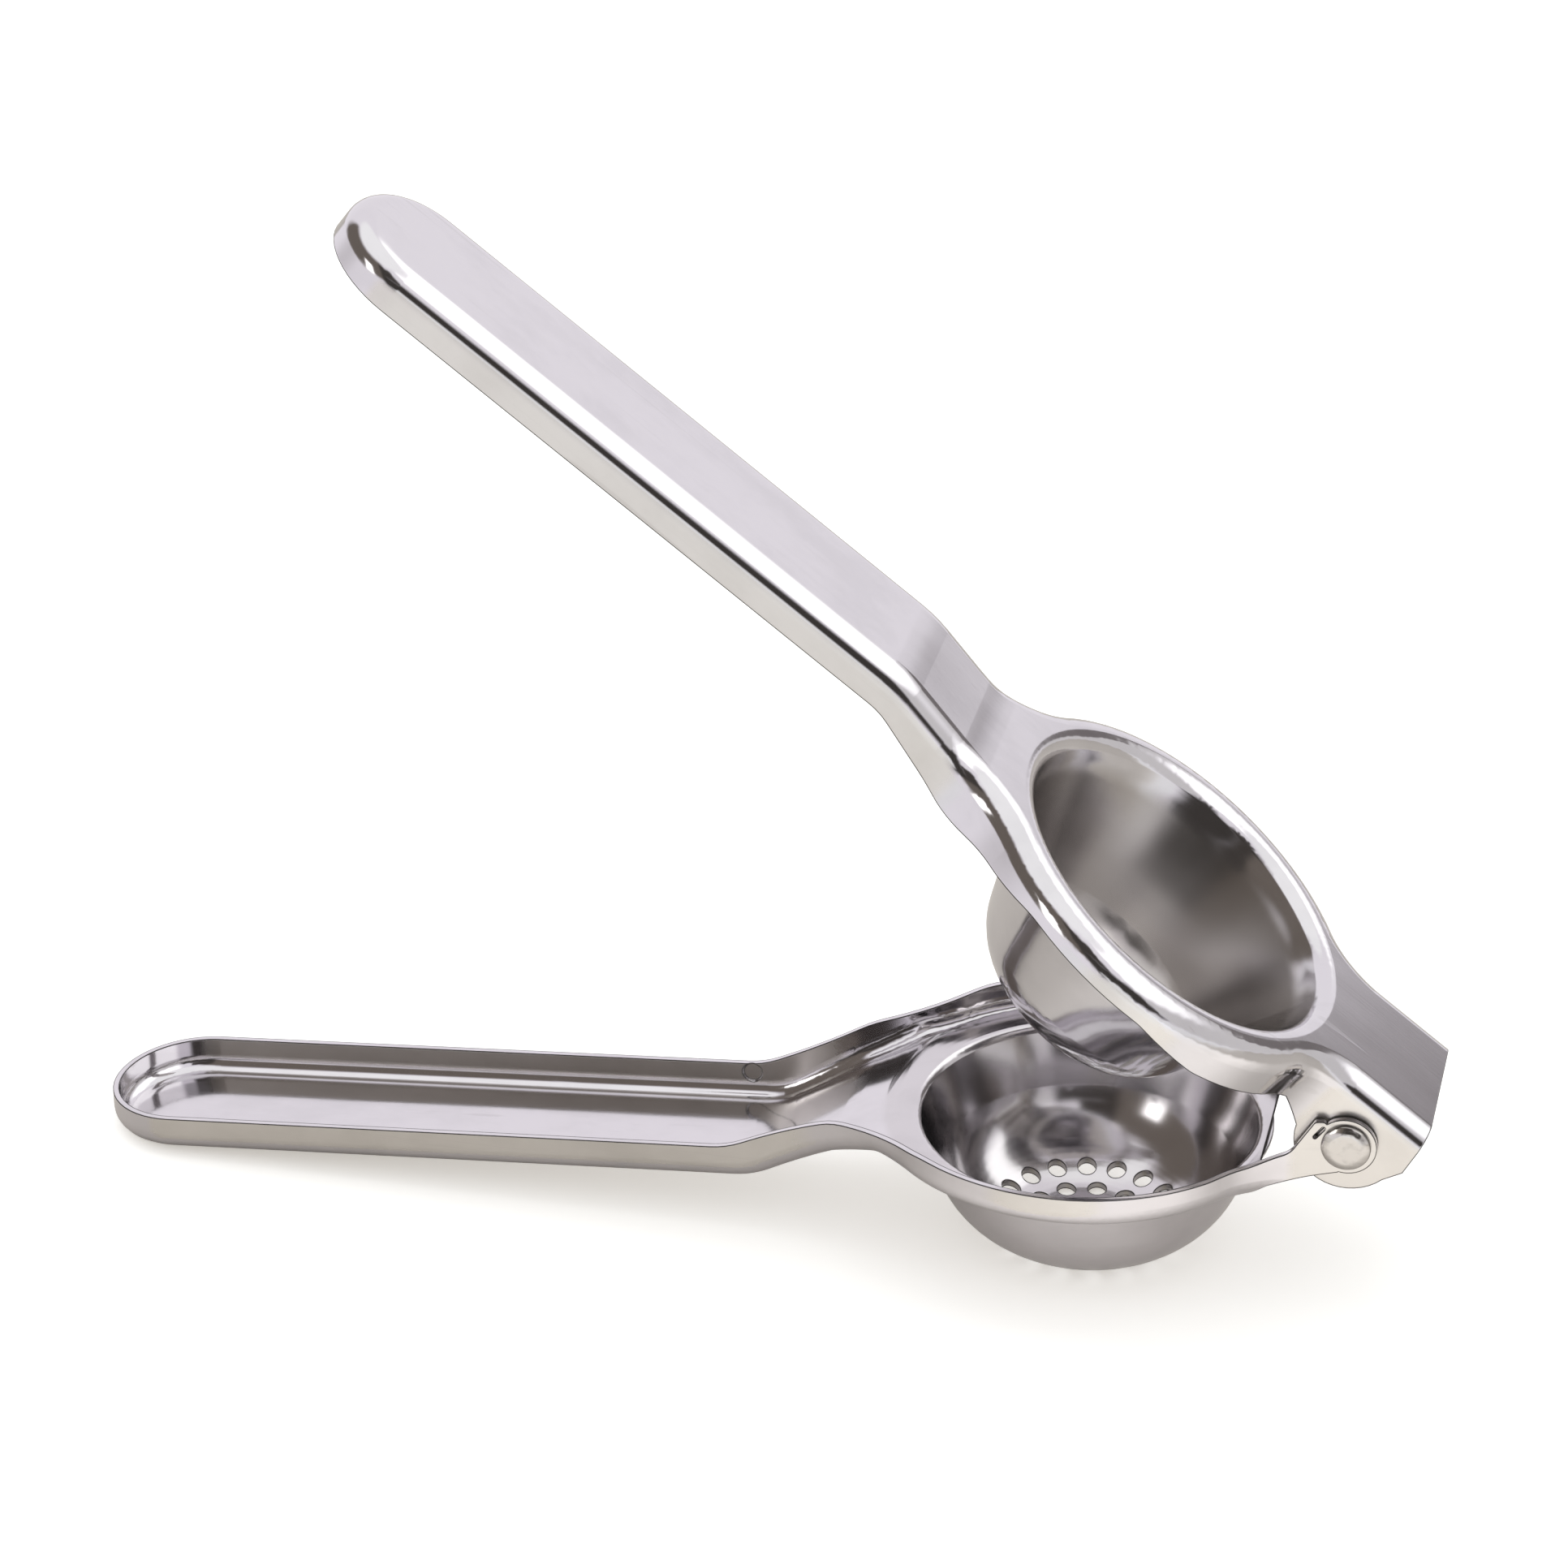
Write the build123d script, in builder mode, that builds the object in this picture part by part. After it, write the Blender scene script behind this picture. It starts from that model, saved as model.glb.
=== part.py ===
from build123d import *
import math
import os

# Hinged lemon press, stamped from stainless sheet. Millimetres, +Z up.
# X runs along the arms, with the hinge at the +X end and the handles at the -X end.
# The origin is the centre of the strainer bowl's flat bottom, which stands on the table, and
# the lower handle's tip touches the same table. The press is stored open.
# Heights are counted from the hinge pin, square to the arm's own deck. Places written (x, height)
# have x from the handle side of the band for the necks, from the centre of the arms' round
# middle for the skirt beside the cup, and from the pin for the ears.

# --- shared by both arms -----------------------------------------------------------------
sheet = 1.0                # sheet thickness
band_radius = 33.9         # outside of the wall round the bowl
hinge_neck = 9.5           # band to hinge pin
opening_angle = 37.3       # between the two decks, as stored
pin_above_rim = 4.3        # lower arm's rim to the pin

# --- lower arm ---------------------------------------------------------------------------
lower_reach = 204.3        # pin to the handle's tip
lower_handle_width = 27.0
lower_corner = 3.4         # rounding between floor and side walls
lower_neck_radius = 40.0   # plan radius where the handle runs into the band
lower_ear_radius = 19.0    # plan radius where the band runs into the ears
band_height = 5.7          # rim to the underside of the ledge
lower_neck_bend = 14.0     # radius of the S-bends seen from the side
lower_ledge_bend = 6.0     # where the neck reaches the ledge
lower_rim_start = (-20.3, -15.5)
lower_rim_end = (-2.9, -7.0)
lower_rim_top = 13.9
lower_floor_start = (-16.1, -21.5)
lower_floor_end = (-2.3, -13.5)
lower_floor_top = 6.5
dimple_radius = 1.5        # small pressed mark inside the handle's wall
dimple_depth = 0.35
dimple_place = (-22.1, -17.3)

# --- strainer bowl -----------------------------------------------------------------------
bowl_height = 26.3         # table to the rim
bowl_offset = 1.6          # bowl's centre to the band's centre, towards the hinge
ledge_width = 7.0          # band to the inside of the bowl, without its rounded lip
bowl_taper = 7.8           # top radius less bottom radius, inside, before rounding
bowl_corner = 17.4         # inside rounding between side and bottom
bowl_lip = 1.6             # rounding where the ledge turns down
drain_radius = 1.5
drain_inner = (5.0, 6)     # ring radius and number of holes
drain_middle = (9.5, 12)
drain_outer = (14.0, 18)

# --- lower ears --------------------------------------------------------------------------
ear_end_radius = 4.7
ear_gap = 0.35             # side play between the two arms' walls
ear_top = (-14.0, -3.9)
ear_knee = (-8.4, -2.0)
hump_inner = (-4.9, 3.7)
hump_outer = (-3.4, 3.9)
hump_rounding = 0.6
relief_place = (-4.2, 1.9) # slot between the hump and the rivet
relief_length = 2.6
relief_width = 0.55
relief_angle = 53.0
ear_floor = (-15.8, -10.4) # the ledge stops along the line from here to the ear
ear_bottom = (-11.6, -7.8)
ear_under = (-1.0, -4.7)

# --- upper arm ---------------------------------------------------------------------------
upper_reach = 205.0
upper_handle_width = 25.8
upper_corner = 3.6         # rounding between deck and side walls
upper_neck_radius = 21.0
upper_ear_radius = 12.0
deck_overhang = 0.6        # wall round the press cup, outside the band
deck_height = 9.5          # deck's top over the pin
grip_height = 13.0         # handle's top over the pin
upper_end_half_width = 14.7
upper_neck_bend = 25.0
deck_neck_start = -20.1
deck_neck_end = -4.6
grip_edge = 6.2            # lower edge of the handle's side walls
skirt_start = -20.1
skirt_dip = (-2.1, -0.2)
skirt_side = (14.9, 4.3)
skirt_side_end = (2.6, 4.3)
skirt_front = (14.0, 1.9)
skirt_bend = 12.0
upper_ear = (-12.6, 0.9)
lobe_radius = 8.2          # round end of the upper ears, about the pin
lobe_shoulder = (-5.6, -4.6)
end_top = (8.3, 9.5)       # straight-cut end of the deck
end_corner = (9.5, 1.8)
end_foot = (7.6, -2.4)

# --- press cup ---------------------------------------------------------------------------
cup_margin = 6.1           # wall round the cup to the inside of the cup, without its lip
cup_taper = 12.2           # top radius less bottom radius, inside, before rounding
cup_corner = 11.8
cup_lip = 2.8
cup_depth = 29.2           # deck's top to the inside of the bottom

# --- hinge rivet -------------------------------------------------------------------------
shank_radius = 2.4
rivet_fit = 0.02           # shank in the lower ears
running_fit = 0.06         # shank in the upper ears
head_radius = 3.8
head_height = 1.2
head_bevel = 0.5

# --- worked out --------------------------------------------------------------------------
far = 80.0
round_to_pin = band_radius + hinge_neck
bowl_to_pin = round_to_pin - bowl_offset
band_to_pin = round_to_pin + band_radius
deck_radius = band_radius + deck_overhang
pin_height = bowl_height + pin_above_rim
ledge_level = -pin_above_rim - band_height
lower_end_half_width = upper_end_half_width + ear_gap + sheet
bowl_top_radius = band_radius - ledge_width
bowl_depth = bowl_height - band_height
cup_top_radius = deck_radius - cup_margin

pin_point = Vector(bowl_to_pin, 0, pin_height)
tilt = math.radians(opening_angle)
level_x = Vector(1, 0, 0)
level_up = Vector(0, 0, 1)
tilted_x = Vector(math.cos(tilt), 0, -math.sin(tilt))
tilted_up = Vector(math.sin(tilt), 0, math.cos(tilt))
sideways = Vector(0, -1, 0)
lower_plan = Plane(origin=pin_point, x_dir=level_x, z_dir=level_up)
lower_side = Plane(origin=pin_point, x_dir=level_x, z_dir=sideways)
bowl_side = Plane(origin=pin_point - level_x * bowl_to_pin, x_dir=level_x, z_dir=sideways)
upper_plan = Plane(origin=pin_point, x_dir=tilted_x, z_dir=tilted_up)
upper_side = Plane(origin=pin_point, x_dir=tilted_x, z_dir=sideways)
cup_side = Plane(origin=pin_point - tilted_x * round_to_pin, x_dir=tilted_x, z_dir=sideways)

# The lower handle falls from the neck until the underside of its tip is on the table.
neck_x = lower_floor_start[0] - band_to_pin
fall = (lower_floor_start[1] + pin_height) / (neck_x + lower_reach - lower_corner)


def from_band(place):
    """A place counted from the handle side of the band, counted from the pin instead."""
    return (place[0] - band_to_pin, place[1])


def from_round(place):
    """A place counted from the centre of the round middle, counted from the pin instead."""
    return (place[0] - round_to_pin, place[1])


def plan_outline(reach, width, radius, neck_radius, end_half_width, ear_radius):
    """Arm seen from above: half-round tip, handle, round middle and a straight hinge end."""
    half = width / 2
    neck_corner = -round_to_pin - math.sqrt(radius**2 - half**2)
    ear_corner = -round_to_pin + math.sqrt(radius**2 - end_half_width**2)
    with BuildSketch() as outline:
        with Locations((-reach + half, 0)):
            Circle(half)
        with Locations(((-reach + half - round_to_pin) / 2, 0)):
            Rectangle(reach - half - round_to_pin, width)
        with Locations((-round_to_pin, 0)):
            Circle(radius)
        with Locations(((far - round_to_pin) / 2, 0)):
            Rectangle(far + round_to_pin, 2 * end_half_width)
        necks = outline.vertices().filter_by_position(Axis.X, neck_corner - 0.1, neck_corner + 0.1)
        fillet(necks, radius=neck_radius)
        ears = outline.vertices().filter_by_position(Axis.X, ear_corner - 0.1, ear_corner + 0.1)
        fillet(ears, radius=ear_radius)
    return outline.sketch_local


def drawn_in(flat, amount):
    """The same flat shape, drawn in by an amount on every side."""
    with BuildSketch() as smaller:
        add(flat)
        offset(amount=-amount, kind=Kind.INTERSECTION)
    return smaller.sketch_local


def arm_form(plan_plane, plan, side_plane, side, skin_direction, corner):
    """Solid with an arm's plan and side shapes, rounded where the deck turns into the walls."""
    with BuildPart() as form:
        with BuildSketch(plan_plane):
            add(plan)
        extrude(amount=far, both=True)
        with BuildSketch(side_plane):
            add(side)
        extrude(amount=far, both=True, mode=Mode.INTERSECT)
        skin = form.faces().filter_by(lambda f: f.normal_at().dot(skin_direction) > 0.5)
        fillet(skin.edges().filter_by(Axis.Y, reverse=True), radius=corner)
    return form.part


def dish_form(side_plane, profile, radii):
    """Solid of revolution under a profile that runs from the dish's mouth to its middle."""
    with BuildPart() as form:
        with BuildSketch(side_plane):
            with BuildLine():
                edge = FilletPolyline(*profile, radius=radii)
                Polyline(edge @ 1, (0, profile[0][1]), edge @ 0)
            make_face()
        revolve(axis=Axis(side_plane.origin, side_plane.y_dir))
    return form.part


def hollow_form(side_plane, level, top_radius, taper, depth, corner):
    """Space inside a dish drawn down from a deck, run on a little above the deck."""
    slope = taper / depth
    mouth = (top_radius + slope, level + 1)
    base = (top_radius - taper, level - depth)
    return dish_form(side_plane, (mouth, base, (0, level - depth)), (corner,))


def shell_form(side_plane, level, top_radius, taper, depth, lip, corner):
    """Dish with its sheet, from the deck's underside, to be hollowed afterwards."""
    lean = math.atan2(taper, depth)
    wider = sheet * (1 / math.cos(lean) - math.tan(lean))
    top = top_radius + wider
    brim = top + lip * math.tan((math.pi / 2 - lean) / 2) + 0.1
    under = level - sheet
    profile = (
        (brim, under + sheet / 2),
        (brim, under),
        (top, under),
        (top - taper, under - depth),
        (0, under - depth),
    )
    return dish_form(side_plane, profile, (0, lip - sheet, corner + sheet))


# --- lower arm: plan, underside and the outline of its walls -------------------------------
lower_outline = plan_outline(
    lower_reach,
    lower_handle_width,
    band_radius,
    lower_neck_radius,
    lower_end_half_width,
    lower_ear_radius,
)
with BuildSketch() as lower_under:
    with BuildLine():
        floor_left = -lower_reach - far
        floor_start = from_band(lower_floor_start)
        floor_line = FilletPolyline(
            (floor_left, floor_start[1] - fall * (floor_start[0] - floor_left)),
            floor_start,
            from_band(lower_floor_end),
            from_band((lower_floor_top, ledge_level)),
            (far, ledge_level),
            radius=(lower_neck_bend, lower_neck_bend, lower_ledge_bend),
        )
        Polyline(floor_line @ 1, (far, far / 2), (floor_left, far / 2), floor_line @ 0)
    make_face()

with BuildSketch() as lower_walls:
    with BuildLine():
        rim_start = from_band(lower_rim_start)
        rim_line = FilletPolyline(
            (floor_left, rim_start[1] - fall * (rim_start[0] - floor_left)),
            rim_start,
            from_band(lower_rim_end),
            from_band((lower_rim_top, -pin_above_rim)),
            (ear_top[0] - 6, -pin_above_rim),
            radius=lower_neck_bend,
        )
        ear_line = FilletPolyline(
            rim_line @ 1,
            ear_top,
            ear_knee,
            hump_inner,
            hump_outer,
            (0, 0),
            radius=(8, 3, hump_rounding, hump_rounding),
        )
        Polyline(
            ear_line @ 1,
            ear_under,
            ear_bottom,
            ear_floor,
            (ear_floor[0], -far),
            (floor_left, -far),
            rim_line @ 0,
        )
    make_face()
    Circle(ear_end_radius)
    with Locations(relief_place):
        SlotOverall(relief_length, relief_width, rotation=relief_angle, mode=Mode.SUBTRACT)

# --- upper arm: plan, deck and the outline of its walls -------------------------------------
upper_outline = plan_outline(
    upper_reach,
    upper_handle_width,
    deck_radius,
    upper_neck_radius,
    upper_end_half_width,
    upper_ear_radius,
)
with BuildSketch() as upper_over:
    with BuildLine():
        deck_line = FilletPolyline(
            (-upper_reach - far, grip_height),
            from_band((deck_neck_start, grip_height)),
            from_band((deck_neck_end, deck_height)),
            (far, deck_height),
            radius=upper_neck_bend,
        )
        Polyline(deck_line @ 1, (far, -far / 2), (-upper_reach - far, -far / 2), deck_line @ 0)
    make_face()

with BuildSketch() as upper_walls:
    with BuildLine():
        skirt_line = FilletPolyline(
            (-upper_reach - far, grip_edge),
            from_band((skirt_start, grip_edge)),
            from_band(skirt_dip),
            from_band(skirt_side),
            from_round(skirt_side_end),
            from_round(skirt_front),
            upper_ear,
            radius=skirt_bend,
        )
        Polyline(
            upper_ear,
            lobe_shoulder,
            end_foot,
            end_corner,
            end_top,
            (end_top[0], far),
            (-upper_reach - far, far),
            skirt_line @ 0,
        )
    make_face()
    Circle(lobe_radius)

# --- forms ------------------------------------------------------------------------------
lower_outside = arm_form(
    lower_plan, lower_outline, lower_side, lower_under.sketch_local, -level_up, lower_corner
)
lower_inside = arm_form(
    lower_plan,
    drawn_in(lower_outline, sheet),
    lower_side,
    drawn_in(lower_under.sketch_local, sheet),
    -level_up,
    lower_corner - sheet,
)
upper_outside = arm_form(
    upper_plan, upper_outline, upper_side, upper_over.sketch_local, tilted_up, upper_corner
)
upper_inside = arm_form(
    upper_plan,
    drawn_in(upper_outline, sheet),
    upper_side,
    drawn_in(upper_over.sketch_local, sheet),
    tilted_up,
    upper_corner - sheet,
)

bowl_level = ledge_level + sheet
bowl_hollow = hollow_form(
    bowl_side, bowl_level, bowl_top_radius, bowl_taper, bowl_depth, bowl_corner
)
bowl_shell = shell_form(
    bowl_side, bowl_level, bowl_top_radius, bowl_taper, bowl_depth, bowl_lip, bowl_corner
)
cup_hollow = hollow_form(cup_side, deck_height, cup_top_radius, cup_taper, cup_depth, cup_corner)
cup_shell = shell_form(
    cup_side, deck_height, cup_top_radius, cup_taper, cup_depth, cup_lip, cup_corner
)


# --- lower arm ----------------------------------------------------------------------------
with BuildPart() as lower_arm:
    add(lower_outside)
    add(lower_inside, mode=Mode.SUBTRACT)
    with BuildSketch(lower_side):
        add(lower_walls.sketch_local)
    extrude(amount=far, both=True, mode=Mode.INTERSECT)
    add(bowl_shell)
    add(bowl_hollow, mode=Mode.SUBTRACT)
    rings = lower_arm.edges().filter_by(GeomType.CIRCLE)
    fillet(rings.filter_by(lambda e: abs(e.radius - bowl_top_radius) < 0.01), radius=bowl_lip)
    with BuildSketch(Plane.XY):
        with PolarLocations(drain_inner[0], drain_inner[1]):
            Circle(drain_radius)
        with PolarLocations(drain_middle[0], drain_middle[1]):
            Circle(drain_radius)
        with PolarLocations(drain_outer[0], drain_outer[1]):
            Circle(drain_radius)
    extrude(amount=bowl_height / 2, both=True, mode=Mode.SUBTRACT)
    with BuildSketch(lower_side):
        Circle(shank_radius + rivet_fit)
    extrude(amount=far, both=True, mode=Mode.SUBTRACT)
    dimple_depth_out = lower_handle_width / 2 - sheet + dimple_depth
    with BuildSketch(lower_side.offset(-dimple_depth_out)):
        with Locations(from_band(dimple_place)):
            Circle(dimple_radius)
    extrude(amount=2 * sheet, taper=-30, mode=Mode.SUBTRACT)

# --- upper arm ----------------------------------------------------------------------------
with BuildPart() as upper_arm:
    add(upper_outside)
    add(upper_inside, mode=Mode.SUBTRACT)
    with BuildSketch(upper_side):
        add(upper_walls.sketch_local)
    extrude(amount=far, both=True, mode=Mode.INTERSECT)
    add(cup_shell)
    add(cup_hollow, mode=Mode.SUBTRACT)
    rings = upper_arm.edges().filter_by(GeomType.CIRCLE)
    fillet(rings.filter_by(lambda e: abs(e.radius - cup_top_radius) < 0.01), radius=cup_lip)
    with BuildSketch(upper_side):
        Circle(shank_radius + running_fit)
    extrude(amount=far, both=True, mode=Mode.SUBTRACT)

# --- hinge rivet ----------------------------------------------------------------------------
with BuildPart() as hinge_rivet:
    with BuildSketch(lower_side):
        Circle(shank_radius)
    extrude(amount=lower_end_half_width, both=True)
    with BuildSketch(lower_side.offset(lower_end_half_width)):
        Circle(head_radius)
    extrude(amount=head_height)
    with BuildSketch(lower_side.offset(-lower_end_half_width)):
        Circle(head_radius)
    extrude(amount=-head_height)
    ends = hinge_rivet.faces().sort_by(Axis.Y)
    chamfer(ends[0].edges() + ends[-1].edges(), length=head_bevel)

lower_arm.part.label = "lower_arm"
upper_arm.part.label = "upper_arm"
hinge_rivet.part.label = "hinge_rivet"

os.makedirs("parts", exist_ok=True)
export_step(lower_arm.part, "parts/lower_arm.step")
export_step(upper_arm.part, "parts/upper_arm.step")
export_step(hinge_rivet.part, "parts/hinge_rivet.step")

for made in (lower_arm, upper_arm, hinge_rivet):
    print(made.part.label, len(made.part.solids()), made.part.bounding_box(), made.part.volume)
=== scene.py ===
# %% [markdown]
# A hinged lemon press, stamped from stainless sheet, and dressed in Blender.
# The press comes from a CAD model with three pieces: a lower arm with a strainer bowl, an upper arm
# with a press cup, and the rivet that joins them. Their shapes and places are right already, so
# this lesson is about what CAD leaves out: the room that steel reflects, steel with a grain and a
# history, and the small forms that a hammer gives to a rivet. Everything is in metres, in the CAD
# model's frame, with the hinge at the +X end and the lower arm's bowl standing on the table.

# %% Load the frame
import bpy
import math
from collections import Counter
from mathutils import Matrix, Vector


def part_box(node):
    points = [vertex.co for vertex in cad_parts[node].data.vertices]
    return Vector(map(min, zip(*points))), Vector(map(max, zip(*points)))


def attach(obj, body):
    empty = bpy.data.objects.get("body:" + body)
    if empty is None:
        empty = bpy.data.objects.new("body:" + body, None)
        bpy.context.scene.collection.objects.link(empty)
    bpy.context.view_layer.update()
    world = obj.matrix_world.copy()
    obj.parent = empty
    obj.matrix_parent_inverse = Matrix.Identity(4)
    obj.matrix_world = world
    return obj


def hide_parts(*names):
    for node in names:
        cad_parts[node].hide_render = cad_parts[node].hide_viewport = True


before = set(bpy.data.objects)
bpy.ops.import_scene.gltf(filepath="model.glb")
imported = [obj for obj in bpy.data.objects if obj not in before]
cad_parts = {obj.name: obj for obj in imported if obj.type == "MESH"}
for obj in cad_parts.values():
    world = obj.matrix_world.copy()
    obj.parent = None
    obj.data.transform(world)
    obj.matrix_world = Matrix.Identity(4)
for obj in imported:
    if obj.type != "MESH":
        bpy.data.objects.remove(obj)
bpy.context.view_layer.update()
lower_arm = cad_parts["lower_arm"]
upper_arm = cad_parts["upper_arm"]
print("pieces:", sorted(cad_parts))

# %% [markdown]
# Sizes first. The hinge pin is the one place that both arms share, so the rivet's own box gives its
# centre. The upper arm is stored open by a known angle, and what is on it is easiest to describe
# in its own directions, so every finish below is laid out from the pin, along its own arm. The bowl
# and the cup are the deepest parts, and each one's axis lies a known way from the pin.

# %% The pin, the arms' angles and the dishes' axes
rivet_low, rivet_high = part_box("hinge_rivet")
pin = (rivet_low + rivet_high) / 2
lower_angle = 0.0
upper_angle = math.radians(37.3)
bowl_axis = -0.0418
cup_axis = -0.0434
print("pin at", [round(v * 1000, 2) for v in pin], "mm")
print("bowl and cup axes", bowl_axis * 1000, "and", cup_axis * 1000, "mm along their arms")

# %% [markdown]
# The camera stands a little to the right of the press and above it, with a long lens, as for a
# catalogue picture. A long lens from far away keeps the two arms in proportion. It is level, so
# turning the lens's -Z axis to the press and its Y axis up is all the aiming it needs.

# %% Camera
look_at = Vector((-0.04946, 0, 0.0737))
camera_azimuth = math.radians(13.10)
camera_elevation = math.radians(27.81)
camera_distance = 0.750
towards_camera = Vector((
    math.sin(camera_azimuth) * math.cos(camera_elevation),
    -math.cos(camera_azimuth) * math.cos(camera_elevation),
    math.sin(camera_elevation),
))
lens = bpy.data.cameras.new("catalogue_lens")
lens.sensor_width = 36
lens.lens = 111.7
lens.clip_start = 0.01
camera = bpy.data.objects.new("catalogue_camera", lens)
bpy.context.scene.collection.objects.link(camera)
camera.location = look_at + towards_camera * camera_distance
camera.rotation_mode = "QUATERNION"
camera.rotation_quaternion = (-towards_camera).to_track_quat("-Z", "Y")
bpy.context.scene.camera = camera
bpy.context.scene.view_settings.view_transform = "Standard"
print("camera at", [round(v, 3) for v in camera.location], "m")

# %% [markdown]
# Materials and worlds are both trees of nodes, and both are built the same way: add a node, set
# it, join it to the one before. Two small helpers keep that readable. The first fills a socket,
# with a plain value or with another node's output. The second adds a node and sets it by name.

# %% Helpers for adding nodes
def feed(tree, socket, value):
    """Fills a socket. Another node's output is joined to it, and anything else is written in."""
    if isinstance(value, bpy.types.NodeSocket):
        tree.links.new(value, socket)
    else:
        socket.default_value = value


def node(tree, kind, **settings):
    """Adds a node. Settings are its sockets, with _ for a space in the name, or its options."""
    made = tree.nodes.new("ShaderNode" + kind)
    for name, value in settings.items():
        socket = made.inputs.get(name.replace("_", " "))
        if socket is None:
            setattr(made, name, value)
        else:
            feed(tree, socket, value)
    return made


# %% [markdown]
# Most of the nodes in this lesson do sums. Two more helpers write a sum with numbers or with
# vectors in one line. Then one turns a value from one range to another, with a soft start and end,
# and the last blends two colours.

# %% Helpers for sums and blends
def reckon(tree, operation, *values):
    """One step of arithmetic on numbers or outputs."""
    made = node(tree, "Math", operation=operation)
    for socket, value in zip(made.inputs, values):
        feed(tree, socket, value)
    return made.outputs[0]


def reckon_vector(tree, operation, *values):
    """One step of arithmetic on vectors. A dot product gives a number."""
    made = node(tree, "VectorMath", operation=operation)
    for socket, value in zip(made.inputs, values):
        feed(tree, socket, value)
    return made.outputs["Value" if operation == "DOT_PRODUCT" else "Vector"]


def soft_step(tree, value, at_zero, at_one, low=0.0, high=1.0):
    """low where value is at_zero, high where it is at_one, and a soft change in between."""
    made = node(
        tree, "MapRange", interpolation_type="SMOOTHSTEP", Value=value, From_Min=at_zero,
        From_Max=at_one, To_Min=low, To_Max=high,
    )
    return made.outputs["Result"]


def blend_colours(tree, share, first, second):
    """The first colour where share is 0 and the second where it is 1."""
    made = node(tree, "Mix", data_type="RGBA", Factor=share)
    for socket, value in ((made.inputs[6], first), (made.inputs[7], second)):
        feed(tree, socket, value if isinstance(value, bpy.types.NodeSocket) else (*value, 1))
    return made.outputs[2]


# %% [markdown]
# Shaders join in two ways. One shader can take another's place where a share is 1, which is how
# different rays are shown different things, or two shaders can shine together.

# %% Helpers for joining shaders
def shown_where(tree, share, chosen, otherwise):
    """The chosen shader where share is 1, and the other elsewhere."""
    made = node(tree, "MixShader", Fac=share)
    tree.links.new(otherwise.outputs[0], made.inputs[1])
    tree.links.new(chosen.outputs[0], made.inputs[2])
    return made


def together(tree, first, second):
    """Both shaders' light, added up."""
    made = node(tree, "AddShader")
    tree.links.new(first.outputs[0], made.inputs[0])
    tree.links.new(second.outputs[0], made.inputs[1])
    return made


# %% [markdown]
# Polished steel has hardly any look of its own: it shows the room. So the room comes before the
# steel. In a studio, cards hang round such a piece: white ones for the broad light faces, and dark
# ones where a black line should run along a fold. Here each card is a patch of the world, given by
# its azimuth and elevation, with soft edges. Azimuth 0 is behind the press, 90 is its hinge end and
# 180 is the camera's side. A world needs no meshes for this, so the cards can't get in the way of
# the camera or shade the table.

# %% The room's directions
room = bpy.data.worlds.new("white_room")
bpy.context.scene.world = room
room.use_nodes = True
tree = room.node_tree
tree.nodes.clear()
looking = node(tree, "TexCoord").outputs["Generated"]
sides = node(tree, "SeparateXYZ", Vector=looking)
room_azimuth = reckon(tree, "ARCTAN2", sides.outputs["X"], sides.outputs["Y"])
room_elevation = reckon(tree, "ARCSINE", sides.outputs["Z"])
print("world:", room.name)


def hang_card(tree, behind, azimuth, elevation, half_width, half_height, edge, colour):
    """Covers what is behind with a soft-edged card. Angles are in degrees."""
    aside = reckon(tree, "SUBTRACT", room_azimuth, math.radians(azimuth))
    aside = reckon(tree, "WRAP", aside, math.pi, -math.pi)
    aside = reckon(tree, "ABSOLUTE", aside)
    above = reckon(tree, "SUBTRACT", room_elevation, math.radians(elevation))
    above = reckon(tree, "ABSOLUTE", above)
    across = soft_step(
        tree, aside, math.radians(half_width + edge), math.radians(half_width - edge)
    )
    upright = soft_step(
        tree, above, math.radians(half_height + edge), math.radians(half_height - edge)
    )
    return blend_colours(tree, reckon(tree, "MULTIPLY", across, upright), behind, colour)


# %% [markdown]
# The flat plates mirror the bare walls behind the press. Its rounded corners and its dishes mirror
# the rest of the room, and there the cards are needed: bright ones overhead and on the right, dark
# ones on the left and in front. A card covers those before it, so the broad ones come first.

# %% Hang the cards
bare_walls = (1.0, 0.965, 1.01)
# Azimuth, elevation, half width, half height and soft edge in degrees, and the colour.
cards = {
    "overhead": (0, 78, 180, 20, 4, (1.15, 1.15, 1.15)),
    "low right": (87, 12, 53, 14, 5, (0.74, 0.72, 0.72)),
    "bright right": (82, 42, 57, 13, 5, (1.7, 1.7, 1.68)),
    "dark left": (242, 33, 60, 22, 6, (0.17, 0.145, 0.125)),
    "white strip": (223, 20, 8, 10, 3, (2.6, 2.55, 2.5)),
    "dark front": (168, 13, 26, 15, 5, (0.05, 0.044, 0.04)),
    "dark above the camera": (178, 38, 17, 12, 4, (0.06, 0.052, 0.047)),
    "grey back right": (42.8, 13, 15.2, 7, 0.9, (0.22, 0.2, 0.2)),
    "white below the camera": (178, -8, 9, 15, 3, (1.0, 1.0, 1.0)),
}
seen = bare_walls
for card in cards.values():
    seen = hang_card(tree, seen, *card)
print("cards:", ", ".join(cards))

# %% [markdown]
# Only reflections see the cards. The camera sees plain white behind the press, and the soft light
# that falls on the table comes from an even room, so that no card throws a shadow of its own.

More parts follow.
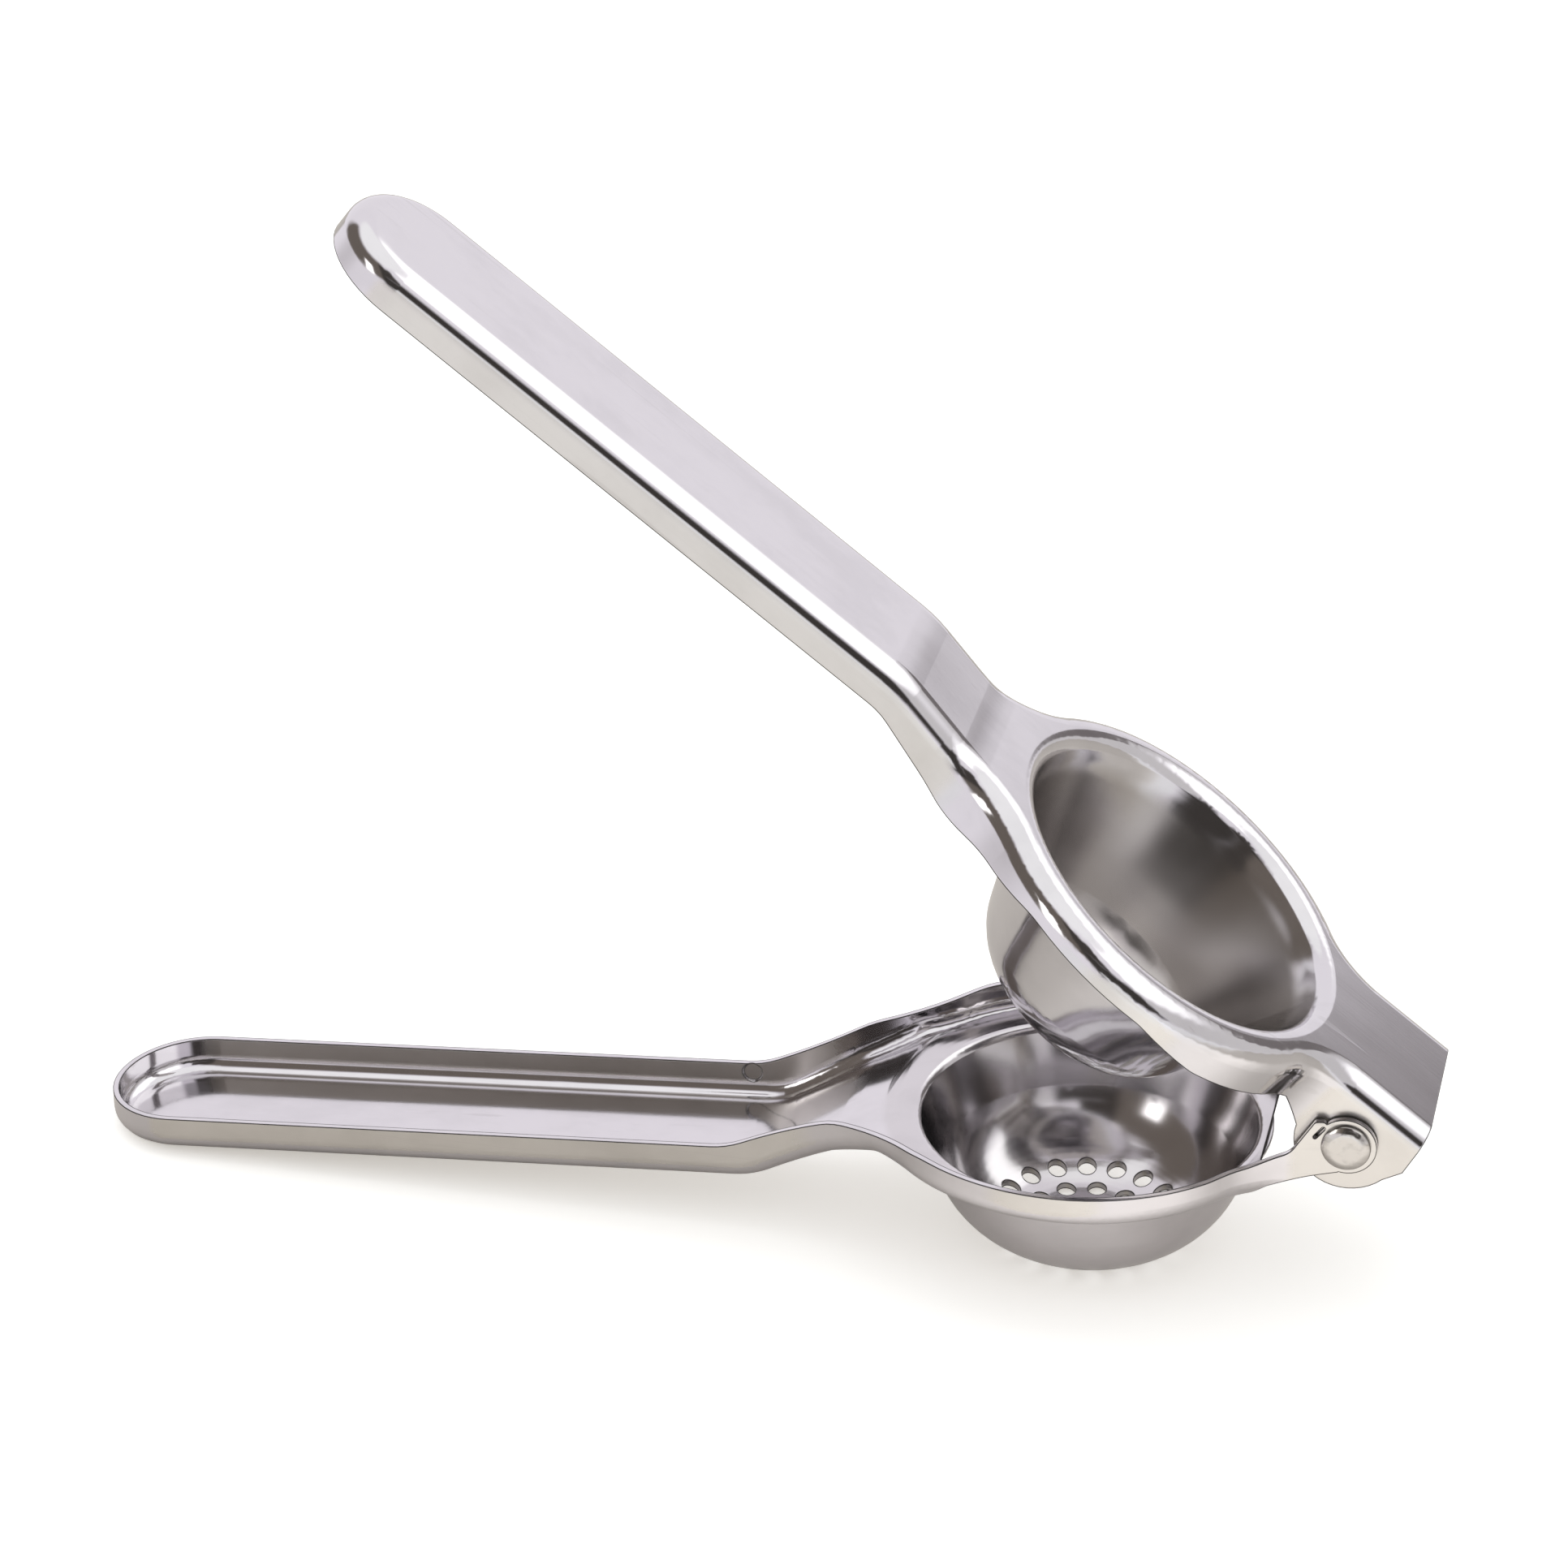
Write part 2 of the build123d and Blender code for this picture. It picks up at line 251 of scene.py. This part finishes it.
# %% Show the room to the right rays
even_light = 0.90
rays = node(tree, "LightPath")
steel_sees = node(tree, "Background", Color=seen, Strength=1.0)
table_sees = node(tree, "Background", Color=(1, 1, 1, 1), Strength=even_light)
camera_sees = node(tree, "Background", Color=(1, 1, 1, 1), Strength=1.0)
world_look = shown_where(tree, rays.outputs["Is Glossy Ray"], steel_sees, table_sees)
world_look = shown_where(tree, rays.outputs["Is Camera Ray"], camera_sees, world_look)
node(tree, "OutputWorld", Surface=world_look.outputs[0])
print("world nodes:", len(tree.nodes))

# %% [markdown]
# One large softbox hangs over the press. It is wide and near, so its shadow is soft and lies close
# under the arms. Its strength is set so that, with the room's own light, white paper comes out
# white and no more. Steel doesn't see it: the overhead card stands in for it there.

# %% Softbox
softbox = bpy.data.lights.new("softbox", "AREA")
softbox.shape = "RECTANGLE"
softbox.size = 0.8
softbox.size_y = 0.5
softbox.energy = 0.95
softbox_place = bpy.data.objects.new("softbox", softbox)
bpy.context.scene.collection.objects.link(softbox_place)
softbox_place.location = (-0.12, 0.10, 0.8)
softbox_place.visible_glossy = False
print("softbox radiance", round(softbox.energy / (math.pi * softbox.size * softbox.size_y), 2))

# %% [markdown]
# The table is a wide plane under the press. It reaches far behind, so that its back edge is out of
# sight. In front it ends after half a metre, and the steel sees the white card below the camera
# past that edge. The table is only a stage for the picture, and isn't part of the press.

# %% Table
table_size = 6
table_middle = 2.45
bpy.ops.object.select_all(action="DESELECT")
bpy.ops.mesh.primitive_plane_add(size=table_size, location=(0, table_middle, 0))
table = bpy.context.active_object
table.name = "table"
print("table ends", round(table_size / 2 - table_middle, 2), "m in front of the press")

# %% [markdown]
# The table's paper looks different to different rays, as the room does. The camera sees it glow a
# little on top of the light that it gets, so that it runs into the white background and still
# keeps a soft shadow. Steel sees it warm and slightly grey, with two patches of painted glow on it
# that only reflections show. One lies further out in front and brightens the upper arm's walls. The
# other is a painted pool of light just before the hinge, where the press's shadow falls, and
# brightens the walls there.

# %% Patches of painted glow on the table
far_front = (-0.05, -0.22)
hinge_left, hinge_right = (-0.08, 0.02), (0.15, 0.09)
hinge_front = (-0.015, -0.055)
far_white, hinge_white = (0.38, 0.41, 0.46), (0.37, 0.362, 0.35)
paper = bpy.data.materials.new("pale_paper")
paper.use_nodes = True
tree = paper.node_tree
tree.nodes.clear()
rays = node(tree, "LightPath")
place = node(tree, "SeparateXYZ", Vector=node(tree, "TexCoord").outputs["Object"])
to_right = place.outputs["X"]
to_back = reckon(tree, "ADD", place.outputs["Y"], table_middle)
# Painted light: two glowing patches that only steel sees, one by the hinge where the shadow falls.
far_glow_patch = soft_step(tree, to_back, *far_front)
hinge_glow_patch = soft_step(tree, to_right, *hinge_left, low=0.2, high=1.3)
hinge_glow_patch = reckon(tree, "MULTIPLY", hinge_glow_patch, soft_step(tree, to_right, *hinge_right))
from_press = soft_step(tree, to_back, *hinge_front, low=0.25, high=1.3)
hinge_glow_patch = reckon(tree, "MULTIPLY", hinge_glow_patch, from_press)
glow_patches = reckon(tree, "MAXIMUM", far_glow_patch, hinge_glow_patch)
glow_patches = reckon(tree, "MULTIPLY", glow_patches, rays.outputs["Is Glossy Ray"])
glow_patch_colour = blend_colours(tree, far_glow_patch, hinge_white, far_white)
print("the far sheet begins", -far_front[0], "m in front of the press")

# %% [markdown]
# With the glow patches laid out, three lights are added up: what the matt paper gets, the glow that
# only the camera sees, and the patches' painted glow, which only steel sees. One material can do
# all three.

# %% The paper
warm_grey, clean_white = (0.62, 0.585, 0.54), (0.90, 0.925, 0.95)
glow = (0.415, 0.39, 0.35)
matt_colour = blend_colours(tree, rays.outputs["Is Camera Ray"], warm_grey, clean_white)
matt = node(tree, "BsdfDiffuse", Color=matt_colour)
to_camera = node(tree, "Emission", Color=(*glow, 1), Strength=rays.outputs["Is Camera Ray"])
# Painted light: the patches glow for steel only, though the table is no lamp.
to_steel = node(tree, "Emission", Color=glow_patch_colour, Strength=glow_patches)
paper_look = together(tree, together(tree, matt, to_camera), to_steel)
node(tree, "OutputMaterial", Surface=paper_look.outputs[0])
table.data.materials.append(paper)
print("paper nodes:", len(tree.nodes))

# %% [markdown]
# Now the steel. Both arms are pressed from the same sheet and polished on the same wheel, so one
# recipe serves both. The grain follows each arm, so the texture's coordinates are turned to the
# arm: X runs along it from the pin, Y across it and Z through its plate. The surface's own
# direction is turned in the same way. Object coordinates stay with the arm when the hinge moves.

# %% An arm's own directions
def arm_coordinates(tree, turned):
    """Object coordinates, centred on the pin and turned to the arm."""
    place = node(tree, "TexCoord").outputs["Object"]
    turn = (0, turned, 0)
    mapping = node(
        tree, "Mapping", vector_type="TEXTURE", Vector=place, Location=pin, Rotation=turn
    )
    return mapping.outputs["Vector"]


def arm_normal(tree, turned):
    """The surface's own direction, turned to the arm like its coordinates."""
    facing = node(tree, "TexCoord").outputs["Normal"]
    turn = (0, turned, 0)
    mapping = node(tree, "Mapping", vector_type="TEXTURE", Vector=facing, Rotation=turn)
    return mapping.outputs["Vector"]


# %% [markdown]
# The parts of an arm aren't polished alike. The wheel reaches the flat plates and the rolled
# corners and leaves them bright, and only brushes the walls, which stay satin. It can't get into
# the cup or the bowl at all. Each part gets a mask, a number from 0 to 1, worked out from where the
# surface is and which way it faces, so nothing has to be painted or unwrapped.

# %% Masks for the parts of an arm
wall_faces = (0.955, 0.985)
plate_faces = (0.12, 0.03)


def walls_and_plates(tree, normal):
    """Two masks: 1 on upright side walls, and 1 on flat plates and bends. Rolled corners get 0."""
    sides = node(tree, "SeparateXYZ", Vector=normal)
    sideways = reckon(tree, "ABSOLUTE", sides.outputs["Y"])
    return soft_step(tree, sideways, *wall_faces), soft_step(tree, sideways, *plate_faces)


def dish_radius(tree, place, centre_x):
    """Distance from the axis of the cup or bowl, in the arm's own plane."""
    parts = node(tree, "SeparateXYZ", Vector=place)
    along = reckon(tree, "SUBTRACT", parts.outputs["X"], centre_x)
    along = reckon(tree, "MULTIPLY", along, along)
    across = reckon(tree, "MULTIPLY", parts.outputs["Y"], parts.outputs["Y"])
    return reckon(tree, "SQRT", reckon(tree, "ADD", along, across))


def faces_inwards(tree, place, normal, centre_x):
    """1 on the hollow side of a cup or bowl: its floor faces up and its wall faces the axis."""
    spot = reckon_vector(tree, "SUBTRACT", place, (centre_x, 0, 0))
    outwards = reckon_vector(tree, "MULTIPLY", spot, (1, 1, 0))
    outwards = reckon_vector(tree, "NORMALIZE", outwards)
    away = reckon_vector(tree, "DOT_PRODUCT", outwards, normal)
    up = node(tree, "SeparateXYZ", Vector=normal).outputs["Z"]
    hollow = reckon(tree, "SUBTRACT", up, away)
    return soft_step(tree, hollow, -0.1, 0.1)


# %% [markdown]
# Sheet that is stamped out keeps a narrow cut edge all round, and on a real press its corners are
# broken a little. The Bevel node rounds the shading there without touching the mesh. Where its
# answer differs from the plain surface direction, there is an edge, so it gives a mask as well.

# %% Mask for the cut edges
broken_edge = 0.00035
edge_agreement = (0.997, 0.955)


def cut_edges(tree):
    """The normal with its sharp edges rounded, and a mask that is 1 right at those edges."""
    rounded = node(tree, "Bevel", samples=8, Radius=broken_edge).outputs["Normal"]
    plain = node(tree, "NewGeometry").outputs["Normal"]
    agree = reckon_vector(tree, "DOT_PRODUCT", rounded, plain)
    return rounded, soft_step(tree, agree, *edge_agreement)


# %% [markdown]
# Four kinds of marks come from the making. The wheel leaves three: broad clouds, fine lines and a
# few longer scratches. Noise that is stretched along the arm gives them all. The wheel runs along
# the arm, so lines and scratches end at the dishes and at walls that stand across it.

# %% Marks of the wheel
def stretched_noise(tree, place, stretch, scale, detail, roughness=0.5):
    """Noise with grains stretched along X, the smaller stretch the longer. Returns 0 to 1."""
    longer = reckon_vector(tree, "MULTIPLY", place, (stretch, 1.0, 1.0))
    noise = node(tree, "TexNoise", Vector=longer, Scale=scale, Detail=detail, Roughness=roughness)
    return noise.outputs["Fac"]


def wheel_marks(tree, place, normal, drawn):
    """Clouds from 0 to 1, lines from -0.5 to 0.5, and a few scratches of 1."""
    scratch_peaks = (0.71, 0.76)
    sides = node(tree, "SeparateXYZ", Vector=normal)
    facing_along = reckon(tree, "ABSOLUTE", sides.outputs["X"])
    wheel = reckon(tree, "SUBTRACT", soft_step(tree, facing_along, 0.6, 0.2), drawn)
    wheel = reckon(tree, "MAXIMUM", wheel, 0.0)

    clouds = stretched_noise(tree, place, stretch=0.6, scale=48, detail=3)
    lines = stretched_noise(tree, place, stretch=0.012, scale=1900, detail=2, roughness=0.6)
    lines = reckon(tree, "MULTIPLY", reckon(tree, "SUBTRACT", lines, 0.5), wheel)
    scratches = stretched_noise(tree, place, stretch=0.05, scale=420, detail=1)
    scratches = reckon(tree, "MULTIPLY", soft_step(tree, scratches, *scratch_peaks), wheel)
    return clouds, lines, scratches


# %% [markdown]
# The fourth kind is the faint rings that turned dies press into a dish. They are a sine of the
# distance from the dish's axis, on floors and shoulders only, because on a steep wall they would
# show as a ladder.

# %% Marks of the dies
ring_spacing = 0.0011


def die_rings(tree, normal, radius, drawn):
    """Rings from -0.5 to 0.5 on the level parts of a dish."""
    turning = reckon(tree, "SINE", reckon(tree, "MULTIPLY", radius, 2 * math.pi / ring_spacing))
    up = reckon(tree, "ABSOLUTE", node(tree, "SeparateXYZ", Vector=normal).outputs["Z"])
    level = reckon(tree, "MULTIPLY", drawn, soft_step(tree, up, 0.5, 0.85))
    return reckon(tree, "MULTIPLY", reckon(tree, "MULTIPLY", turning, level), 0.5)


# %% [markdown]
# Roughness says how sharply steel reflects. It starts from the wheel's polish, the satin parts are
# rougher, and each mark adds its own small share. The cut edges are roughest.

# %% Roughness
def steel_roughness(tree, satin, clouds, lines, scratches, rings, edges):
    """Polish, satin and the marks' shares, added up."""
    polish, satin_share = 0.065, 0.19
    rough = reckon(tree, "MULTIPLY_ADD", satin, satin_share, polish)
    shares = ((clouds, 0.075), (lines, 0.05), (scratches, 0.07), (rings, 0.012), (edges, 0.2))
    for part, share in shares:
        rough = reckon(tree, "MULTIPLY_ADD", part, share, rough)
    return rough


# %% [markdown]
# A metal's base colour tints what it reflects. Stainless steel is nearly neutral, cooler on the
# plates and warmer on the satin walls, and a little darker where the wheel skids. Lines and
# scratches are darker too. The inside of a dish is painted darker, as painted shade in the hollow,
# and the cut edges are painted nearly black, as a painted dark line along each edge.

# %% Tint
def steel_tint(
    tree, place, walls, inside, lines, scratches, edges, plate_tint, painted_inside_shade
):
    """The base colour of pressed steel. The inside share is how much painted shade darkens a dish's
    inside.
    """
    stained_plate = tuple(part * 0.93 for part in plate_tint)
    wall_tint, stained_wall = (0.715, 0.69, 0.66), (0.665, 0.64, 0.61)
    painted_hollow_shade, scored, painted_edge_dark = (0.33, 0.30, 0.265), (0.30, 0.285, 0.275), (0.03, 0.027, 0.025)
    line_share, painted_edge_share = 0.10, 0.95

    skids = stretched_noise(tree, place, stretch=0.7, scale=95, detail=4, roughness=0.6)
    stain = soft_step(tree, skids, 0.40, 0.72)
    plate = blend_colours(tree, stain, plate_tint, stained_plate)
    wall = blend_colours(tree, stain, wall_tint, stained_wall)
    tint = blend_colours(tree, walls, plate, wall)

    # Painted shade: a dish's inside is blended towards a dark brown-grey, for the shade in its
    # hollow.
    tint = blend_colours(tree, reckon(tree, "MULTIPLY", inside, painted_inside_shade), tint, painted_hollow_shade)
    dark_lines = soft_step(tree, lines, 0.12, 0.30, high=line_share)
    dark_lines = reckon(tree, "MULTIPLY_ADD", scratches, line_share, dark_lines)
    tint = blend_colours(tree, dark_lines, tint, scored)
    # Painted dark line: the cut edges are blended to nearly black, for the shade along each edge.
    return blend_colours(tree, reckon(tree, "MULTIPLY", edges, painted_edge_share), tint, painted_edge_dark)


# %% [markdown]
# The press also leaves the sheet wavy, most of all where it is drawn deep, and polished steel shows
# a wave far smaller than a hair. The heights here are in metres: waves of up to a quarter of a
# millimetre in the dishes, more in a dented bottom, and lines and rings of a few thousandths. A
# bump is right for them, because none of them shows in the outline.

# %% Relief
def steel_relief(
    tree, place, rounded, radius, drawn, inside, lines, scratches, rings, bottom_dents
):
    """The bumped normal. bottom_dents is how deep the dents in a dish's bottom are."""
    flat_waves, drawn_waves = 0.00005, 0.00025
    bottom_reach = (0.020, 0.013)
    waves = stretched_noise(tree, place, stretch=0.55, scale=75, detail=1)
    depth = soft_step(tree, drawn, 0, 1, flat_waves, drawn_waves)
    bottom = reckon(tree, "MULTIPLY", inside, soft_step(tree, radius, *bottom_reach))
    depth = reckon(tree, "MULTIPLY_ADD", bottom, bottom_dents, depth)
    height = reckon(tree, "MULTIPLY", waves, depth)
    for mark, rise in ((lines, 0.0000016), (scratches, -0.000004), (rings, 0.000003)):
        height = reckon(tree, "MULTIPLY_ADD", mark, rise, height)
    relief = node(tree, "Bump", Strength=1.0, Distance=1.0, Height=height, Normal=rounded)
    return relief.outputs["Normal"]


# %% [markdown]
# Every steel part here is a metal all through, so its material starts as a plain metal and is then
# given three looks: roughness, tint and relief. Arms and rivet share this start and this end.

# %% Start and end of a steel
def start_steel(name):
    """A new metal material, without marks yet."""
    made = bpy.data.materials.new(name)
    made.use_nodes = True
    made.node_tree.nodes["Principled BSDF"].inputs["Metallic"].default_value = 1.0
    return made


def give_looks(steel, rough, tint, relief):
    """Joins the three looks to the metal's shader."""
    bsdf = steel.node_tree.nodes["Principled BSDF"]
    for socket, look in (("Roughness", rough), ("Base Color", tint), ("Normal", relief)):
        feed(steel.node_tree, bsdf.inputs[socket], look)
    print(steel.name, "has", len(steel.node_tree.nodes), "nodes")


# %% [markdown]
# The recipe puts those together. The two arms differ in only a few numbers: where their dish is,
# how satin their plates are, how dull and dented the inside of their dish is, and how much painted
# shade darkens that inside.

# %% The steel recipe
dish_lip = 0.0008


def pressed_steel(
    name, turned, dish_x, dish_reach, plate_satin, inside_satin, painted_inside_shade, bottom_dents,
    plate_tint,
):
    """Stainless sheet, pressed and polished. dish_x and dish_reach say where it is drawn deep."""
    made = start_steel(name)
    tree = made.node_tree
    place = arm_coordinates(tree, turned)
    normal = arm_normal(tree, turned)
    walls, plates = walls_and_plates(tree, normal)
    radius = dish_radius(tree, place, dish_x)
    drawn = soft_step(tree, radius, dish_reach + dish_lip, dish_reach - dish_lip)
    inside = reckon(tree, "MULTIPLY", drawn, faces_inwards(tree, place, normal, dish_x))
    satin = reckon(tree, "MAXIMUM", walls, reckon(tree, "MULTIPLY", plates, plate_satin))
    satin = reckon(tree, "MULTIPLY", satin, reckon(tree, "SUBTRACT", 1.0, drawn))
    satin = reckon(tree, "MULTIPLY_ADD", inside, inside_satin, satin)
    rounded, edges = cut_edges(tree)
    clouds, lines, scratches = wheel_marks(tree, place, normal, drawn)
    rings = die_rings(tree, normal, radius, drawn)

    rough = steel_roughness(tree, satin, clouds, lines, scratches, rings, edges)
    tint = steel_tint(
        tree, place, walls, inside, lines, scratches, edges, plate_tint, painted_inside_shade
    )
    relief = steel_relief(
        tree, place, rounded, radius, drawn, inside, lines, scratches, rings, bottom_dents
    )
    give_looks(made, rough, tint, relief)
    return made


# %% [markdown]
# Each arm then gets its own steel. The bowl's inside gets only a little painted shade and stays
# nearly as bright as its arm. The cup's inside is dull and painted a dark brown-grey as shade in
# its hollow, and its bottom is dented where the punch has drawn it.

# %% Dress the two arms
def dress(piece, finish):
    """Gives a piece its one finish."""
    piece.data.materials.clear()
    piece.data.materials.append(finish)
    print(piece.name, "wears", finish.name)


lower_finish = pressed_steel(
    "lower_arm_steel", lower_angle, dish_x=bowl_axis, dish_reach=0.0325, plate_satin=0.05,
    inside_satin=0.25, painted_inside_shade=0.15, bottom_dents=0.0001, plate_tint=(0.71, 0.69, 0.715),
)
upper_finish = pressed_steel(
    "upper_arm_steel", upper_angle, dish_x=cup_axis, dish_reach=0.0265, plate_satin=0.35,
    inside_satin=0.70, painted_inside_shade=0.62, bottom_dents=0.0006, plate_tint=(0.70, 0.685, 0.705),
)
dress(lower_arm, lower_finish)
dress(upper_arm, upper_finish)

# %% [markdown]
# The rivet comes next, modelled from a cylinder as long as the shank. CAD gives it two plain heads
# with a straight chamfer. A real one is turned from bar and then hammered over, so each head has an
# upright rim, a round shoulder that catches a dark line from the room, and an almost flat face.

# %% Rivet blank
shank_radius = 0.0024
head_radius = 0.0038
half_length = (rivet_high.y - rivet_low.y) / 2
head_height = 0.0012
bpy.ops.object.select_all(action="DESELECT")
bpy.ops.mesh.primitive_cylinder_add(
    vertices=64,
    radius=shank_radius,
    depth=2 * (half_length - head_height),
    location=pin,
    rotation=(math.pi / 2, 0, 0),
)
rivet = bpy.context.active_object
rivet.name = "turned_rivet"
bpy.ops.object.transform_apply(location=True, rotation=True, scale=True)
print("blank:", [round(v * 1000, 2) for v in rivet.dimensions], "mm")

# %% [markdown]
# Each head grows from the shank's end. The end face is widened to the head's radius, and then
# pushed out and drawn in, step by step, along a list of radius and height. Working from a list of
# rings, as on a lathe, gives the shoulder its exact curve. A bevel would give it only one radius.

# %% Helpers for growing a head
def pick_faces(mesh, test):
    """Selects the faces that pass the test, and nothing else. Works between two edit sessions."""
    for group in (mesh.vertices, mesh.edges, mesh.polygons):
        for item in group:
            item.select = False
    picked = [face for face in mesh.polygons if test(face)]
    for face in picked:
        face.select = True
    return len(picked)


def edit(*steps):
    """Runs operators in edit mode on what is selected."""
    bpy.ops.object.mode_set(mode="EDIT")
    bpy.ops.mesh.select_mode(type="FACE")
    for step, settings in steps:
        step(**settings)
    bpy.ops.object.mode_set(mode="OBJECT")


def widen(ratio):
    """A step that scales the selection about the rivet's axis."""
    return bpy.ops.transform.resize, dict(value=(ratio, 1, ratio), center_override=pin)


def grow_head(side, profile):
    """Grows a head at one end of the shank. The profile is in mm, as radius and height."""
    out = Vector((0, side, 0))
    smallest_end = 0.00001
    found = pick_faces(
        rivet.data, lambda face: face.normal.dot(out) > 0.99 and face.area > smallest_end
    )
    steps = [(bpy.ops.mesh.inset, dict(thickness=0.0)), widen(head_radius / shank_radius)]
    radius_now, height_now = head_radius, 0.0
    for radius_mm, height_mm in profile:
        rise = out * (height_mm / 1000 - height_now)
        steps.append((
            bpy.ops.mesh.extrude_region_move, dict(TRANSFORM_OT_translate={"value": rise})
        ))
        steps.append(widen(radius_mm / 1000 / radius_now))
        radius_now, height_now = radius_mm / 1000, height_mm / 1000
    edit(*steps)
    return found


# %% [markdown]
# The near head's shoulder is long and low. The far head was hammered against an anvil, so its
# shoulder is rounder.

# %% Both heads
near_profile = [
    (3.80, 0.40), (3.77, 0.48), (3.68, 0.57), (3.50, 0.70), (3.28, 0.83), (3.02, 0.96),
    (2.76, 1.065), (2.50, 1.135), (2.35, 1.155), (1.40, 1.17), (0.60, 1.18),
]
far_profile = [
    (3.80, 0.40), (3.76, 0.52), (3.62, 0.68), (3.38, 0.84), (3.05, 0.98),
    (2.60, 1.08), (2.00, 1.14), (1.20, 1.17), (0.50, 1.18),
]
for side, profile in ((-1, near_profile), (1, far_profile)):
    print("end face found:", grow_head(side, profile))
print("rivet:", len(rivet.data.polygons), "faces,", [round(v * 1000, 2) for v in rivet.dimensions])

# %% [markdown]
# The rivet's normals are turned outwards and its turned faces are smoothed, with only its sharp
# edges kept crisp. Then come two checks: it must be closed, so that each edge has two faces, and it
# may not be longer than the pin of the CAD model.

# %% Smooth and check the rivet
bpy.ops.object.mode_set(mode="EDIT")
bpy.ops.mesh.select_all(action="SELECT")
bpy.ops.mesh.normals_make_consistent(inside=False)
bpy.ops.object.mode_set(mode="OBJECT")
bpy.ops.object.shade_smooth_by_angle(angle=math.radians(38))
faces_at = Counter(edge for face in rivet.data.polygons for edge in face.edge_keys)
print("open edges:", sum(1 for count in faces_at.values() if count != 2))
reaches = [vertex.co.y for vertex in rivet.data.vertices]
print("rivet y from", round(min(reaches) * 1000, 3), "to", round(max(reaches) * 1000, 3), "mm")
print("CAD rivet y from", round(rivet_low.y * 1000, 3), "to", round(rivet_high.y * 1000, 3), "mm")

# %% [markdown]
# A rivet's steel differs from the sheet's. It is turned, so it has fine rings round its axis, and
# its face has dents from the hammer. Grime lies on it in spots, and its rim gets painted shade.

# %% Marks on the rivet
turning_spacing = 0.00035
rivet_finish = start_steel("rivet_turned_steel")
tree = rivet_finish.node_tree
place = arm_coordinates(tree, lower_angle)
parts = node(tree, "SeparateXYZ", Vector=place)
along_squared = reckon(tree, "MULTIPLY", parts.outputs["X"], parts.outputs["X"])
up_squared = reckon(tree, "MULTIPLY", parts.outputs["Z"], parts.outputs["Z"])
from_axis = reckon(tree, "SQRT", reckon(tree, "ADD", along_squared, up_squared))
rings = reckon(tree, "SINE", reckon(tree, "MULTIPLY", from_axis, 2 * math.pi / turning_spacing))
dents = stretched_noise(tree, place, stretch=1.0, scale=560, detail=1)
grime = stretched_noise(tree, place, stretch=1.0, scale=900, detail=3)
grime = soft_step(tree, grime, 0.45, 0.75)
print("marks on the rivet:", len(tree.nodes), "nodes")

# %% [markdown]
# The rivet's three looks are made from those marks, as the arms' are from theirs. Rings and grime
# roughen the steel, grime and painted shade at the rim darken it, and dents and rings bump it.

# %% Rivet finish
rivet_polish, ring_share, grime_share = 0.15, 0.012, 0.12
rim = (0.00362, 0.00378)
clean, grime_and_shade_tint = (0.61, 0.585, 0.56), (0.16, 0.15, 0.14)
dent_depth, ring_depth = 0.00012, 0.0000008

rough = reckon(tree, "MULTIPLY_ADD", rings, ring_share, rivet_polish)
rough = reckon(tree, "MULTIPLY_ADD", grime, grime_share, rough)
# Painted shade: a dark ring at the head's rim, for the shade in the crevice against the ear.
rim_painted_shade = soft_step(tree, from_axis, *rim, high=0.85)
grime_and_rim_shade = reckon(tree, "MULTIPLY_ADD", grime, grime_share, rim_painted_shade)
tint = blend_colours(tree, grime_and_rim_shade, clean, grime_and_shade_tint)
height = reckon(tree, "MULTIPLY", dents, dent_depth)
height = reckon(tree, "MULTIPLY_ADD", rings, ring_depth, height)
relief = node(tree, "Bump", Strength=1.0, Distance=1.0, Height=height)
give_looks(rivet_finish, rough, tint, relief.outputs["Normal"])

# %% [markdown]
# The new rivet takes the place of the CAD one. It moves with the lower arm, whose ears hold it
# still, and the upper arm turns on it.

# %% Fit the rivet
dress(rivet, rivet_finish)
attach(rivet, "lower")
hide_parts("hinge_rivet")
